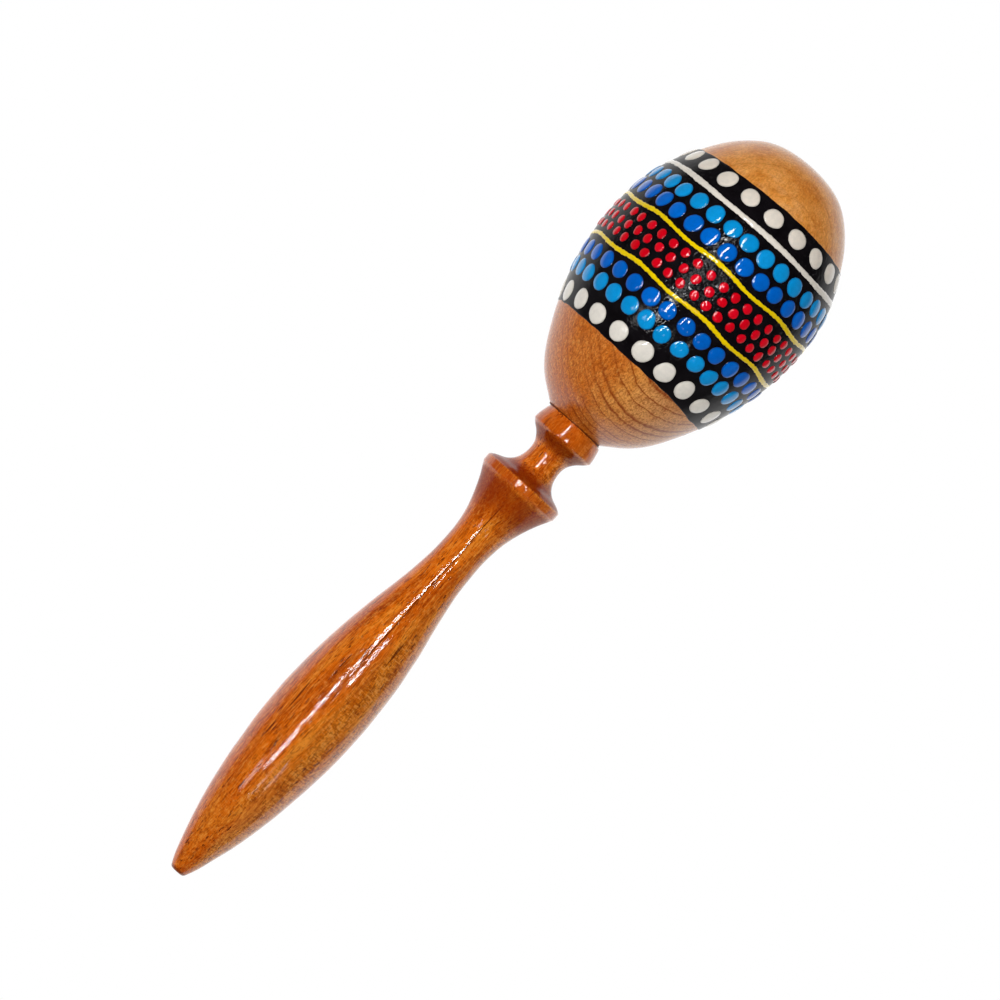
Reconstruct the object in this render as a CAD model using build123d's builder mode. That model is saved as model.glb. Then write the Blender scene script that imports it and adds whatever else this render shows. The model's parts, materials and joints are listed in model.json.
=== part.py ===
from build123d import *
import math
import os

os.makedirs("parts", exist_ok=True)

# A hand-painted wooden maraca, lying at rest: +X runs from the butt of the
# handle towards the crown of the head, +Z is up, the floor is z = 0 and the
# origin is under the middle of the maraca's box.
# Every turned profile below is drawn along the maraca's own axis, as
# (distance from the butt, radius).  All sizes are in millimetres.

# ---------------------------------------------------------------- driving dimensions
total_length = 240.0  # butt to crown, along the axis
grip_radius = 11.85  # thickest place of the grip
rim_radius = 11.8  # flared collar
rim_start, rim_end = 129.6, 131.7  # the collar's flat rim
seam_s = 151.4  # where the handle's collar meets the head
tenon_radius = 6.0
glue_gap = 0.1  # around the tenon and in the lap joint
floor_s = 161.4  # inner floor of the head and end of the tenon
halves_s = 200.0  # where the two halves of the head meet
head_radius = 30.15  # bare wood at the belly of the head
lap_radius = 28.2  # wall of the lap joint between the halves
lap_depth = 3.0
band_start, band_end = 171.4, 225.6  # edges of the painted band

# outline of the grip, from the rounded butt to the flared collar
grip_points = [
    (1.3, 2.7), (3.0, 3.45), (6.1, 4.5), (10.1, 5.75), (15.2, 7.15), (21.3, 8.55),
    (27.3, 9.65), (33.5, 10.5), (41.5, 11.35), (51.0, grip_radius), (59.0, 11.8),
    (67.1, 11.35), (75.2, 10.5), (83.3, 9.2), (91.4, 7.65), (99.0, 6.45),
    (106.0, 5.92), (111.0, 5.92), (115.7, 6.45), (119.8, 7.4), (123.6, 8.7),
    (126.6, 10.05), (129.3, 11.55),
]  # fmt: skip
# the cove between the flared collar and the neck collar
cove_points = [
    (131.95, 11.5), (132.7, 10.3), (133.7, 7.95), (134.8, 6.6), (136.2, 5.7),
    (137.8, 5.2), (139.6, 5.0), (141.3, 5.2), (142.8, 5.85), (144.0, 6.8),
    (145.1, 8.1), (146.15, 9.25),
]  # fmt: skip
# outer wall of the head, bare wood
head_points = [
    (151.4, 8.1), (153, 10.3), (155, 13.05), (158, 16.2), (162, 19.1), (166, 21.35),
    (170, 23.35), (175, 25.4), (180, 27.1), (185, 28.45), (190, 29.4), (195, 29.97),
    (200, head_radius), (205, 29.97), (210, 29.3), (215, 28.1), (220, 26.1), (225, 23.55),
    (229, 21.1), (232, 18.75), (235, 15.7), (237, 13.0), (238.5, 9.9), (239.6, 5.2),
    (total_length, 0),
]  # fmt: skip
# inner wall of the head: 4 mm thick walls, thicker towards the neck
cavity_points = [
    (161.4, 10.7), (164, 13.4), (168, 16.7), (172, 19.35), (177, 21.8), (183, 23.8),
    (190, 25.35), (195, 25.95), (200, 26.15), (205, 25.95), (210, 25.25), (216, 23.5),
    (222, 20.65), (227, 17.6), (231, 14.15), (234, 10.1), (235.5, 5.6), (236, 0),
]  # fmt: skip
# face of the painted band, 0.6 mm proud of the wood
band_points = [
    (171.37, 24.61), (175.8, 26.33), (180.83, 27.98), (185.87, 29.26), (190.92, 30.14),
    (195.97, 30.63), (201.01, 30.75), (206.06, 30.47), (211.12, 29.7), (216.2, 28.33),
    (221.26, 26.17), (225.6, 23.89),
]  # fmt: skip

# ---------------------------------------------------------------- how it lies
# The grip and the painted band both touch the floor: the common support line
# under the two outlines gives the lean of the axis and its height.
with BuildLine() as grip_outline:
    Spline(*grip_points)
with BuildLine() as band_outline:
    Spline(*band_points)


def samples(line, count=2000):
    edge = line.edges()[0]
    found = [edge @ (i / count) for i in range(count + 1)]
    return [(p.X, p.Y) for p in found]


grip_samples, band_samples = samples(grip_outline), samples(band_outline)
slope = 0.0
for _ in range(60):
    g = max(grip_samples, key=lambda p: p[1] - slope * p[0])
    b = max(band_samples, key=lambda p: p[1] - slope * p[0])
    slope = (b[1] - g[1]) / (b[0] - g[0])
lean = math.atan(slope)
axis_height = (b[1] - slope * b[0]) * math.cos(lean)
outline = [(0.0, 1.9), (0.35, 2.25)] + grip_samples + band_samples + head_points
high_x = max(s * math.cos(lean) + r * math.sin(lean) for s, r in outline)
low_x = min(s * math.cos(lean) - r * math.sin(lean) for s, r in outline)
butt_x = -(high_x + low_x) / 2

along = (math.cos(lean), 0, math.sin(lean))
butt = (butt_x, 0, axis_height)
profile = Plane(origin=butt, x_dir=along, z_dir=(0, -1, 0))
spin = Axis(butt, along)
print("lean %.4f deg, butt at %.3f, %.3f" % (math.degrees(lean), butt_x, axis_height))

# ---------------------------------------------------------------- handle
# One turned piece: flat butt, long tapered grip, flared collar, deep cove,
# neck collar, and the tenon that is glued into the head.
with BuildPart() as handle:
    with BuildSketch(profile):
        with BuildLine():
            Polyline((0, 0), (0, 1.9), (0.35, 2.25))
            Line((0.35, 2.25), (1.3, 2.7))
            Spline(*grip_points)
            Line((129.3, 11.55), (rim_start, rim_radius))
            Line((rim_start, rim_radius), (rim_end, rim_radius))
            Line((rim_end, rim_radius), (131.95, 11.5))
            Spline(*cove_points)
            Polyline(
                (146.15, 9.25), (146.45, 9.42), (147.9, 9.3), (150.6, 8.62),
                (seam_s, 8.1), (seam_s, tenon_radius), (floor_s - 0.8, tenon_radius),
                (floor_s, tenon_radius - 0.8), (floor_s, 0), (0, 0),
            )  # fmt: skip
        make_face()
    revolve(axis=spin)
handle.part.label = "handle"
export_step(handle.part, "parts/handle.step")

# ---------------------------------------------------------------- head
# The blank of the whole head, which the two halves and the band are cut from.
with BuildPart() as head_blank:
    with BuildSketch(profile):
        with BuildLine():
            Line((seam_s, 0), (seam_s, 8.1))
            Spline(*head_points, tangents=[(0.58, 0.815), (0, -1)])
            Line((total_length, 0), (seam_s, 0))
        make_face()
    revolve(axis=spin)

# The sealed hollow that the seeds move in, and the socket for the tenon.
with BuildPart() as hollow:
    with BuildSketch(profile):
        with BuildLine():
            Line((floor_s, 0), (floor_s, 10.7))
            Spline(*cavity_points, tangents=[(0.65, 0.76), (0, -1)])
            Line((236, 0), (floor_s, 0))
        make_face()
    revolve(axis=spin)
with BuildPart() as socket:
    with BuildSketch(profile):
        with BuildLine():
            Polyline(
                (seam_s - 1, 0), (seam_s - 1, tenon_radius + glue_gap),
                (floor_s + 1, tenon_radius + glue_gap), (floor_s + 1, 0),
                (seam_s - 1, 0),
            )  # fmt: skip
        make_face()
    revolve(axis=spin)

# Everything on the neck side of the joint, lip included.
with BuildPart() as neck_side:
    with BuildSketch(profile):
        with BuildLine():
            Polyline(
                (seam_s - 5, 0), (seam_s - 5, 50), (halves_s, 50),
                (halves_s, lap_radius - glue_gap),
                (halves_s + lap_depth, lap_radius - glue_gap),
                (halves_s + lap_depth, 0), (seam_s - 5, 0),
            )  # fmt: skip
        make_face()
    revolve(axis=spin)
# Everything on the crown side, with the rabbet a little deeper than the lip.
with BuildPart() as crown_side:
    with BuildSketch(profile):
        with BuildLine():
            Polyline(
                (halves_s, lap_radius), (halves_s, 50), (total_length + 5, 50),
                (total_length + 5, 0), (halves_s + lap_depth + glue_gap, 0),
                (halves_s + lap_depth + glue_gap, lap_radius), (halves_s, lap_radius),
            )  # fmt: skip
        make_face()
    revolve(axis=spin)

with BuildPart() as head_lower:
    add(head_blank.part)
    add(hollow.part, mode=Mode.SUBTRACT)
    add(socket.part, mode=Mode.SUBTRACT)
    add(neck_side.part, mode=Mode.INTERSECT)
head_lower.part.label = "head_lower"
export_step(head_lower.part, "parts/head_lower.step")

with BuildPart() as head_upper:
    add(head_blank.part)
    add(hollow.part, mode=Mode.SUBTRACT)
    add(crown_side.part, mode=Mode.INTERSECT)
head_upper.part.label = "head_upper"
export_step(head_upper.part, "parts/head_upper.step")

# ---------------------------------------------------------------- painted band
# The coat of paint with its raised dots, as one even layer over both halves.
with BuildPart() as painted_band:
    with BuildSketch(profile):
        with BuildLine():
            Spline(*band_points)
            Polyline(
                band_points[-1], (band_end - 1.5, 18), (band_start + 1.5, 18),
                band_points[0],
            )  # fmt: skip
        make_face()
    revolve(axis=spin)
    add(head_blank.part, mode=Mode.SUBTRACT)
painted_band.part.label = "painted_band"
export_step(painted_band.part, "parts/painted_band.step")

# ---------------------------------------------------------------- seeds
# Hard dry seeds, lying loose on the floor of the hollow as the maraca lies at
# rest.  Each row is the seed's centre (x, y, z), its long and short half axes,
# and its heading and pitch in degrees.  They keep 0.2 mm off the walls and
# 0.1 mm or more off each other's way up and down.
seed_table = [
    (59.81, 0.17, 8.71, 2.36, 1.86, 54, 26),
    (65.03, 0.14, 7.55, 2.37, 1.92, 55, -16),
    (70.64, -0.02, 6.90, 2.29, 1.94, 179, 20),
    (76.30, 0.22, 6.76, 2.21, 1.84, 110, -32),
    (81.55, 0.01, 7.19, 2.28, 2.03, 113, 1),
    (87.25, -0.11, 7.94, 2.15, 1.85, 125, -21),
    (62.44, 4.54, 8.49, 2.37, 1.84, 48, 27),
    (68.00, 4.92, 7.71, 2.32, 1.99, 16, 3),
    (73.50, 4.93, 7.29, 2.25, 1.95, 11, -8),
    (78.92, 4.61, 7.28, 2.37, 1.89, 176, 6),
    (84.55, 4.82, 8.06, 2.33, 1.84, 79, -18),
    (62.46, -4.94, 8.50, 2.41, 1.85, 121, -14),
    (68.16, -4.69, 7.70, 2.19, 2.01, 170, 28),
    (73.53, -4.92, 7.33, 2.20, 2.03, 99, -22),
    (79.17, -4.70, 7.32, 2.30, 1.89, 74, -18),
    (84.30, -4.60, 7.98, 2.28, 1.94, 58, 18),
    (65.04, 9.47, 9.54, 2.16, 1.83, 174, 11),
    (70.72, 9.54, 8.90, 2.39, 1.89, 106, 13),
    (76.19, 9.53, 8.88, 2.36, 2.03, 27, 30),
    (81.53, 9.64, 9.00, 2.37, 1.83, 75, 22),
    (65.04, -9.47, 9.65, 2.36, 1.93, 131, -19),
    (70.62, -9.59, 8.87, 2.20, 1.89, 171, 5),
    (76.18, -9.63, 8.75, 2.41, 1.91, 176, 1),
    (81.76, -9.35, 9.29, 2.35, 1.95, 77, 26),
]  # fmt: skip

for number, (x, y, z, long_half, short_half, yaw, pitch) in enumerate(seed_table, 1):
    yaw, pitch = math.radians(yaw), math.radians(pitch)
    lengthwise = (
        math.cos(pitch) * math.cos(yaw),
        math.cos(pitch) * math.sin(yaw),
        math.sin(pitch),
    )
    with BuildPart() as seed:
        sideways = (-math.sin(yaw), math.cos(yaw), 0)
        with BuildSketch(Plane(origin=(x, y, z), x_dir=lengthwise, z_dir=sideways)):
            with BuildLine():
                EllipticalCenterArc((0, 0), long_half, short_half, arc_size=180)
                Line((-long_half, 0), (long_half, 0))
            make_face()
        revolve(axis=Axis((x, y, z), lengthwise))
    seed.part.label = "seed_%02d" % number
    export_step(seed.part, "parts/seed_%02d.step" % number)
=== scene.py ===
import json
import math

import bpy
import numpy as np
from mathutils import Matrix, Vector


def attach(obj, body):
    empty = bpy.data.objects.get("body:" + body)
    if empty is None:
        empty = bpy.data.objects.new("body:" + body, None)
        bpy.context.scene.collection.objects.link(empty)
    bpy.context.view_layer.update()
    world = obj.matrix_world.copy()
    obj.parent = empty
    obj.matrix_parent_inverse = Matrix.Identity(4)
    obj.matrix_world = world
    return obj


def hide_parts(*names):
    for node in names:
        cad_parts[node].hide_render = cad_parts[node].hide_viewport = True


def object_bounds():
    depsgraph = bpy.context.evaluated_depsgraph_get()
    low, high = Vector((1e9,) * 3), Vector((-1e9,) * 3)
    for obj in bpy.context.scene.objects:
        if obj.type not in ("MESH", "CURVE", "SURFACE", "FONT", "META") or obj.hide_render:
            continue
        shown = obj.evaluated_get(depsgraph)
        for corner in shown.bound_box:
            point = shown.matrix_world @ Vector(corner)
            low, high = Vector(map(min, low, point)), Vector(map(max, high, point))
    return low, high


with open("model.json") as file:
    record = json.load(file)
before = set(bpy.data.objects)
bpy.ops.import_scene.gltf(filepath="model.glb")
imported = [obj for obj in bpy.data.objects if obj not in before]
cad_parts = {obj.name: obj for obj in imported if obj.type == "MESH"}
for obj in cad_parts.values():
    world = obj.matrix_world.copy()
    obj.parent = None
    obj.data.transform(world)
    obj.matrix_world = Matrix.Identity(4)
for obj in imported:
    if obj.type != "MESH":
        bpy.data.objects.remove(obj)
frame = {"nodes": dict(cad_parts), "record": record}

CAD_BOX = [[float(x) for x in v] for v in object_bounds()]

# --------------------------------------------------------------------------
# The maraca's own axis: s runs from the butt along the stick, r is the
# distance from the axis and phi turns round it (0 on top). Lengths below are
# in millimetres; meshes are written in metres.
# --------------------------------------------------------------------------
REC = frame["record"]
BUTT = next(m for m in REC["mounts"] if m["name"] == "butt_face")
P0 = np.array(BUTT["pos_m"], float) * 1000.0
A = -np.array(BUTT["axis"], float)
A /= np.linalg.norm(A)
Y = np.array([0.0, 1.0, 0.0])
U = np.cross(A, Y)


def place(s, r, ph):
    """Points in the row frame, in metres; s and r in mm, ph in radians. The
    head sits on its tenon a little askew, under one degree to the side."""
    s, r, ph = np.broadcast_arrays(s, r, ph)
    askew = np.clip((s - 151.0) / 0.4, 0, 1) * (s - 187.0) * 0.0145
    p = (
        P0
        + s[..., None] * A
        + (r * np.cos(ph))[..., None] * U
        - (r * np.sin(ph) + askew)[..., None] * Y
    )
    return p * 0.001


# --------------------------------------------------------------------------
# Small numeric tools
# --------------------------------------------------------------------------
def spline(points, step, start=None, end=None):
    """Cubic curve through points with chord-length knots, sampled every step."""
    p = np.array(points, float)
    h = np.linalg.norm(np.diff(p, axis=0), axis=1)
    u = np.concatenate([[0], np.cumsum(h)])
    n = len(p)
    m = np.zeros((n, n))
    rhs = np.zeros((n, 2))
    for i in range(1, n - 1):
        m[i, i - 1], m[i, i], m[i, i + 1] = 1 / h[i - 1], 2 / h[i - 1] + 2 / h[i], 1 / h[i]
        rhs[i] = 3 * ((p[i] - p[i - 1]) / h[i - 1] ** 2 + (p[i + 1] - p[i]) / h[i] ** 2)
    if start is None:
        m[0, 0], m[0, 1], rhs[0] = 2, 1, 3 * (p[1] - p[0]) / h[0]
    else:
        m[0, 0], rhs[0] = 1, np.array(start) / np.linalg.norm(start)
    if end is None:
        m[-1, -1], m[-1, -2], rhs[-1] = 2, 1, 3 * (p[-1] - p[-2]) / h[-1]
    else:
        m[-1, -1], rhs[-1] = 1, np.array(end) / np.linalg.norm(end)
    d = np.linalg.solve(m, rhs)
    t = np.linspace(0, u[-1], max(2, int(round(u[-1] / step)) + 1))
    i = np.clip(np.searchsorted(u, t, side="right") - 1, 0, n - 2)
    hh = h[i][:, None]
    x = ((t - u[i]) / h[i])[:, None]
    return (
        (2 * x**3 - 3 * x**2 + 1) * p[i]
        + (x**3 - 2 * x**2 + x) * hh * d[i]
        + (-2 * x**3 + 3 * x**2) * p[i + 1]
        + (x**3 - x**2) * hh * d[i + 1]
    )


def chain(*runs):
    """Joins runs of (s, r) points, dropping repeated ends."""
    out = [np.array(runs[0], float)]
    for r in runs[1:]:
        r = np.array(r, float)
        if np.linalg.norm(r[0] - out[-1][-1]) < 1e-6:
            r = r[1:]
        out.append(r)
    return np.vstack(out)


def resample(p, step):
    l = np.concatenate([[0], np.cumsum(np.linalg.norm(np.diff(p, axis=0), axis=1))])
    t = np.linspace(0, l[-1], int(round(l[-1] / step)) + 1)
    return np.stack([np.interp(t, l, p[:, 0]), np.interp(t, l, p[:, 1])], 1)


def soften(p, sigma, step=0.04, closed=False):
    """Rounds every corner of a profile a little, as turning and sanding does."""
    q = resample(p, step)
    k = int(4 * sigma / step)
    w = np.exp(-0.5 * (np.arange(-k, k + 1) * step / sigma) ** 2)
    w /= w.sum()
    if closed:
        ext = np.vstack([q[-k - 1 : -1], q, q[1 : k + 1]])
    else:
        head = q[1 : k + 1][::-1] * [1, -1] if abs(q[0, 1]) < 1e-6 else 2 * q[0] - q[1 : k + 1][::-1]
        tail = q[-k - 1 : -1][::-1] * [1, -1] if abs(q[-1, 1]) < 1e-6 else 2 * q[-1] - q[-k - 1 : -1][::-1]
        ext = np.vstack([head, q, tail])
    r = np.stack([np.convolve(ext[:, c], w, mode="valid") for c in (0, 1)], 1)
    if not closed:
        r[0, 1] = 0 if abs(q[0, 1]) < 1e-6 else r[0, 1]
        r[-1, 1] = 0 if abs(q[-1, 1]) < 1e-6 else r[-1, 1]
    return r


def adapt(p, coarse, fine, turn=7.0):
    """Picks rings so that flat runs use coarse steps and corners fine ones."""
    d = np.diff(p, axis=0)
    seg = np.linalg.norm(d, axis=1)
    ang = np.unwrap(np.arctan2(d[:, 1], d[:, 0]))
    dens = np.abs(np.gradient(ang)) / np.maximum(seg, 1e-9) / math.radians(turn)
    dens = np.clip(dens, 1 / coarse, 1 / fine)
    dens = np.convolve(np.pad(dens, 4, mode="edge"), np.ones(9) / 9, mode="valid")
    c = np.concatenate([[0], np.cumsum(dens * seg)])
    t = np.linspace(0, c[-1], int(round(c[-1])) + 1)
    return np.stack([np.interp(t, c, p[:, 0]), np.interp(t, c, p[:, 1])], 1)


def ripple(s, ph, seed, amp, fs=0.05, count=5):
    """A smooth small unevenness over the surface, periodic round the axis."""
    g = np.random.default_rng(seed)
    out = 0.0
    for _ in range(count):
        k = g.integers(1, 5)
        f = g.uniform(0.4, 1.6) * fs * 2 * math.pi
        out = out + g.uniform(0.5, 1) * np.sin(k * ph + f * s + g.uniform(0, 6.28))
    return amp * out / count


def mesh_object(name, verts, quads, tris=None, attrs=None):
    """A smooth mesh from arrays; verts in metres."""
    quads = np.asarray(quads, np.int32).reshape(-1, 4)
    tris = np.zeros((0, 3), np.int32) if tris is None else np.asarray(tris, np.int32).reshape(-1, 3)
    me = bpy.data.meshes.new(name)
    me.vertices.add(len(verts))
    me.vertices.foreach_set("co", np.asarray(verts, np.float32).ravel())
    loops = np.concatenate([quads.ravel(), tris.ravel()])
    me.loops.add(len(loops))
    me.loops.foreach_set("vertex_index", loops)
    starts = np.concatenate([np.arange(len(quads)) * 4, len(quads) * 4 + np.arange(len(tris)) * 3])
    me.polygons.add(len(starts))
    me.polygons.foreach_set("loop_start", starts.astype(np.int32))
    me.update(calc_edges=True)
    me.validate()
    me.polygons.foreach_set("use_smooth", np.ones(len(me.polygons), bool))
    for key, val in (attrs or {}).items():
        val = np.asarray(val, np.float32)
        kind = "FLOAT_VECTOR" if val.ndim == 2 else "FLOAT"
        at = me.attributes.new(key, kind, "POINT")
        at.data.foreach_set("vector" if val.ndim == 2 else "value", val.ravel())
    o = bpy.data.objects.new(name, me)
    bpy.context.scene.collection.objects.link(o)
    return o


def lathe(name, prof, nseg, wob=None, closed=False, extra=None):
    """Turns a profile of (s, r) rings round the axis. The local coordinates in
    mm (across, across, along) go into the attribute lc."""
    ph = np.arange(nseg) * 2 * math.pi / nseg
    poles = [] if closed else [i for i in (0, len(prof) - 1) if prof[i, 1] < 1e-6]
    rows = np.array([i for i in range(len(prof)) if i not in poles])
    s = np.repeat(prof[rows, 0][:, None], nseg, 1)
    r = np.repeat(prof[rows, 1][:, None], nseg, 1)
    f = np.repeat(ph[None], len(rows), 0)
    if wob is not None:
        s, r = wob(s, r, f)
    v = place(s, r, f).reshape(-1, 3)
    lc = np.stack([r * np.cos(f), r * np.sin(f), s], -1).reshape(-1, 3)
    j = np.arange(nseg)
    jn = (j + 1) % nseg
    n = len(rows)
    ii = np.arange(n if closed else n - 1)
    nx = (ii + 1) % n
    q = np.stack(
        [
            ii[:, None] * nseg + j, ii[:, None] * nseg + jn,
            nx[:, None] * nseg + jn, nx[:, None] * nseg + j,
        ],
        -1,
    ).reshape(-1, 4)
    tris = []
    for k in poles:
        idx = len(v)
        v = np.vstack([v, place(prof[k, 0], 0.0, 0.0)[None]])
        lc = np.vstack([lc, [[0, 0, prof[k, 0]]]])
        ring = 0 if k == 0 else (n - 1) * nseg
        tri = [np.full(nseg, idx), ring + jn, ring + j] if k == 0 else [np.full(nseg, idx), ring + j, ring + jn]
        tris.append(np.stack(tri, 1))
    attrs = {"lc": lc}
    if extra is not None:
        attrs.update(extra(lc))
    return mesh_object(name, v, q, np.vstack(tris) if tris else None, attrs)


# --------------------------------------------------------------------------
# Profiles, the same lines that the CAD solids are turned from
# --------------------------------------------------------------------------
GRIP = [
    (1.3, 2.7), (3, 3.45), (6.1, 4.5), (10.1, 5.75), (15.2, 7.15), (21.3, 8.55), (27.3, 9.65),
    (33.5, 10.5), (41.5, 11.35), (51, 11.85), (59, 11.8), (67.1, 11.35), (75.2, 10.5),
    (83.3, 9.2), (91.4, 7.65), (99, 6.45), (106, 5.92), (111, 5.92), (115.7, 6.45),
    (119.8, 7.4), (123.6, 8.7), (126.6, 10.05), (129.3, 11.55),
]
COVE = [
    (131.95, 11.5), (132.7, 10.3), (133.7, 7.95), (134.8, 6.6), (136.2, 5.7), (137.8, 5.2),
    (139.6, 5.0), (141.3, 5.2), (142.8, 5.85), (144, 6.8), (145.1, 8.1), (146.15, 9.25),
]
HEAD = [
    (151.4, 8.1), (153, 10.3), (155, 13.05), (158, 16.2), (162, 19.1), (166, 21.35), (170, 23.35),
    (175, 25.4), (180, 27.1), (185, 28.45), (190, 29.4), (195, 29.97), (200, 30.15), (205, 29.97),
    (210, 29.3), (215, 28.1), (220, 26.1), (225, 23.55), (229, 21.1), (232, 18.75), (235, 15.7),
    (237, 13.0), (238.5, 9.9), (239.6, 5.2), (240, 0),
]
CAVITY = [
    (161.4, 10.7), (164, 13.4), (168, 16.7), (172, 19.35), (177, 21.8), (183, 23.8), (190, 25.35),
    (195, 25.95), (200, 26.15), (205, 25.95), (210, 25.25), (216, 23.5), (222, 20.65), (227, 17.6),
    (231, 14.15), (234, 10.1), (235.5, 5.6), (236, 0),
]
SPLIT = 200.0
head_line = spline(HEAD, 0.05, (0.58, 0.815), (0, -1))
cavity_line = spline(CAVITY, 0.3, (0.65, 0.76), (0, -1))


def part_of(line, a, b):
    inside = line[(line[:, 0] > a) & (line[:, 0] < b)]
    ends = [[x, np.interp(x, line[:, 0], line[:, 1])] for x in (a, b)]
    return np.vstack([ends[0], inside, ends[1]])


handle_line = soften(
    chain(
        [(0, 0), (0, 1.9), (0.35, 2.25), (1.3, 2.7)],
        spline(GRIP, 0.2),
        [(129.3, 11.55), (129.6, 11.8), (131.7, 11.8), (131.95, 11.5)],
        spline(COVE, 0.1),
        [(146.15, 9.25), (146.45, 9.42), (147.9, 9.3), (150.6, 8.62), (151.4, 8.1),
         (151.4, 6.0), (160.6, 6.0), (161.4, 5.2), (161.4, 0)],
    ),
    0.13,
)
handle_rings = adapt(handle_line, 0.46, 0.09)


def handle_wob(s, r, f):
    fade = np.clip(s / 6, 0, 1) * np.clip((150.5 - s) / 3, 0, 1)
    # the stick is sanded by hand, so its sections aren't perfect circles
    dr = ripple(s, f, 3, 0.16, 0.02) + ripple(s, f, 4, 0.05, 0.09)
    # the neck bead is filed slightly flat in places
    bead = np.exp(-(((s - 148.2) / 2.2) ** 2))
    dr = dr * fade + bead * fade * (0.05 * np.cos(5 * f + 0.7) - 0.03)
    return s, r + dr * np.clip(r / 5, 0, 1)


handle = lathe("handle_wood", handle_rings, 168, handle_wob)

lower_outer = part_of(head_line, 151.4, SPLIT)
lower_prof = soften(
    chain(
        [(151.4, 6.1)], lower_outer,
        [(SPLIT, 28.1), (203.0, 28.1)],
        part_of(cavity_line, 161.4, 203.0)[::-1],
        [(161.4, 6.1), (151.4, 6.1)],
    ),
    0.06, closed=True,
)
upper_prof = soften(
    chain(
        [(SPLIT, 28.2)], part_of(head_line, SPLIT, 240.0)[:-1], [(240.0, 0)],
    ),
    0.06,
)


def head_wob(s, r, f):
    outer = np.clip((r - 24) / 2, 0, 1)
    a = np.clip((s - 153) / 8, 0, 1) * np.clip((238 - s) / 8, 0, 1)
    vis = np.where((s < 172) | (s > 224), 1.0, 0.0)
    return s, r + ripple(s, f, 9, 0.10, 0.02) * a * np.clip(vis + 0 * outer, 0, 1) * 0.5


def ring_pick(prof, keep):
    """Thins the rings where they are inside the head and never seen."""
    out = [0]
    for i in range(1, len(prof) - 1):
        if np.linalg.norm(prof[i] - prof[out[-1]]) >= keep(prof[i]):
            out.append(i)
    out.append(len(prof) - 1)
    return prof[out]


def lower_keep(p):
    r_out = np.interp(p[0], head_line[:, 0], head_line[:, 1])
    return 0.42 if p[1] > r_out - 0.4 and p[0] < 176 else 1.2


lower_rings = ring_pick(lower_prof, lower_keep)[:-1]
head_lower = lathe("head_lower_wood", lower_rings, 200, head_wob, closed=True)

upper_closed = chain(
    [(SPLIT, 28.2)], part_of(head_line, SPLIT, 239.97),
)
cav_up = part_of(cavity_line, 203.1, 235.98)[::-1]


def upper_shell():
    """The crown as one closed shell: outer skin from the joint to the pole,
    inner skin back from its own pole to the joint."""
    nseg = 200
    outer = ring_pick(soften(chain([(SPLIT, 28.2), (SPLIT, 30.15)], part_of(head_line, SPLIT, 240.0)), 0.06),
                      lambda p: 0.42 if p[0] > 222 else 1.2)
    inner = ring_pick(resample(chain([(236.0, 0.0)], cav_up, [(203.1, 28.2), (SPLIT, 28.2)]), 0.3),
                      lambda p: 1.6)[:-1]
    ph = np.arange(nseg) * 2 * math.pi / nseg
    o = outer[:-1]
    i = inner[1:]
    rows = np.vstack([o, i])
    s = np.repeat(rows[:, 0][:, None], nseg, 1)
    r = np.repeat(rows[:, 1][:, None], nseg, 1)
    f = np.repeat(ph[None], len(rows), 0)
    s, r = head_wob(s, r, f)
    v = place(s, r, f).reshape(-1, 3)
    lc = np.stack([r * np.cos(f), r * np.sin(f), s], -1).reshape(-1, 3)
    j = np.arange(nseg)
    jn = (j + 1) % nseg
    pairs = [(k, k + 1) for k in range(len(rows) - 1) if k != len(o) - 1] + [(len(rows) - 1, 0)]
    a = np.array([p[0] for p in pairs])[:, None] * nseg
    b = np.array([p[1] for p in pairs])[:, None] * nseg
    q = np.stack([a + j, a + jn, b + jn, b + j], -1).reshape(-1, 4)
    v = np.vstack([v, place(240.0, 0.0, 0.0)[None], place(236.0, 0.0, 0.0)[None]])
    lc = np.vstack([lc, [[0, 0, 240.0]], [[0, 0, 236.0]]])
    top, low = len(v) - 2, len(v) - 1
    la = (len(o) - 1) * nseg
    lb = len(o) * nseg
    tris = np.vstack([
        np.stack([np.full(nseg, top), la + j, la + jn], 1),
        np.stack([np.full(nseg, low), lb + jn, lb + j], 1),
    ])
    return mesh_object("head_upper_wood", v, q, tris, {"lc": lc})


head_upper = upper_shell()

# the thin line of glue squeezed out where the bead meets the head
seam = []
for k in range(13):
    t = -math.pi * 0.5 + 2 * math.pi * k / 12
    seam.append((151.42 + 0.20 * math.cos(t), 8.16 + 0.20 * math.sin(t)))
glue = lathe(
    "glue_seam", np.array(seam[:-1]), 160,
    lambda s, r, f: (s + 0.05 * np.sin(3 * f + 1) + 0.03 * np.sin(11 * f), r + 0.05 * np.sin(4 * f) + 0.03 * np.sin(17 * f + 2)),
    closed=True,
)

# --------------------------------------------------------------------------
# Painting on the head: everything is laid out by (s, phi) on the wood
# --------------------------------------------------------------------------
GS = head_line[:, 0]
GR = head_line[:, 1]
GL = np.concatenate([[0], np.cumsum(np.hypot(np.diff(GS), np.diff(GR)))])
dS = np.gradient(GS, GL)
dR = np.gradient(GR, GL)


def length_at(s):
    return np.interp(s, GS, GL)


def offset_sp(s0, ph0, a, b):
    """(s, phi) of the point a mm along the meridian and b mm round from (s0, ph0)."""
    s = np.interp(length_at(s0) + a, GL, GS)
    return s, ph0 + b / np.interp(s, GS, GR)


def on_head(s, ph, z):
    """Point z mm above the wood, and the local coordinates there."""
    l = length_at(s)
    ts, tr = np.interp(l, GL, dS), np.interp(l, GL, dR)
    r = np.interp(s, GS, GR)
    wob = ripple(s, ph, 9, 0.10, 0.02) * 0.5
    ss, rr = s - z * tr, r + z * ts + wob * 0
    lc = np.stack(np.broadcast_arrays(rr * np.cos(ph), rr * np.sin(ph), ss), -1)
    return place(ss, rr, ph), lc


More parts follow.
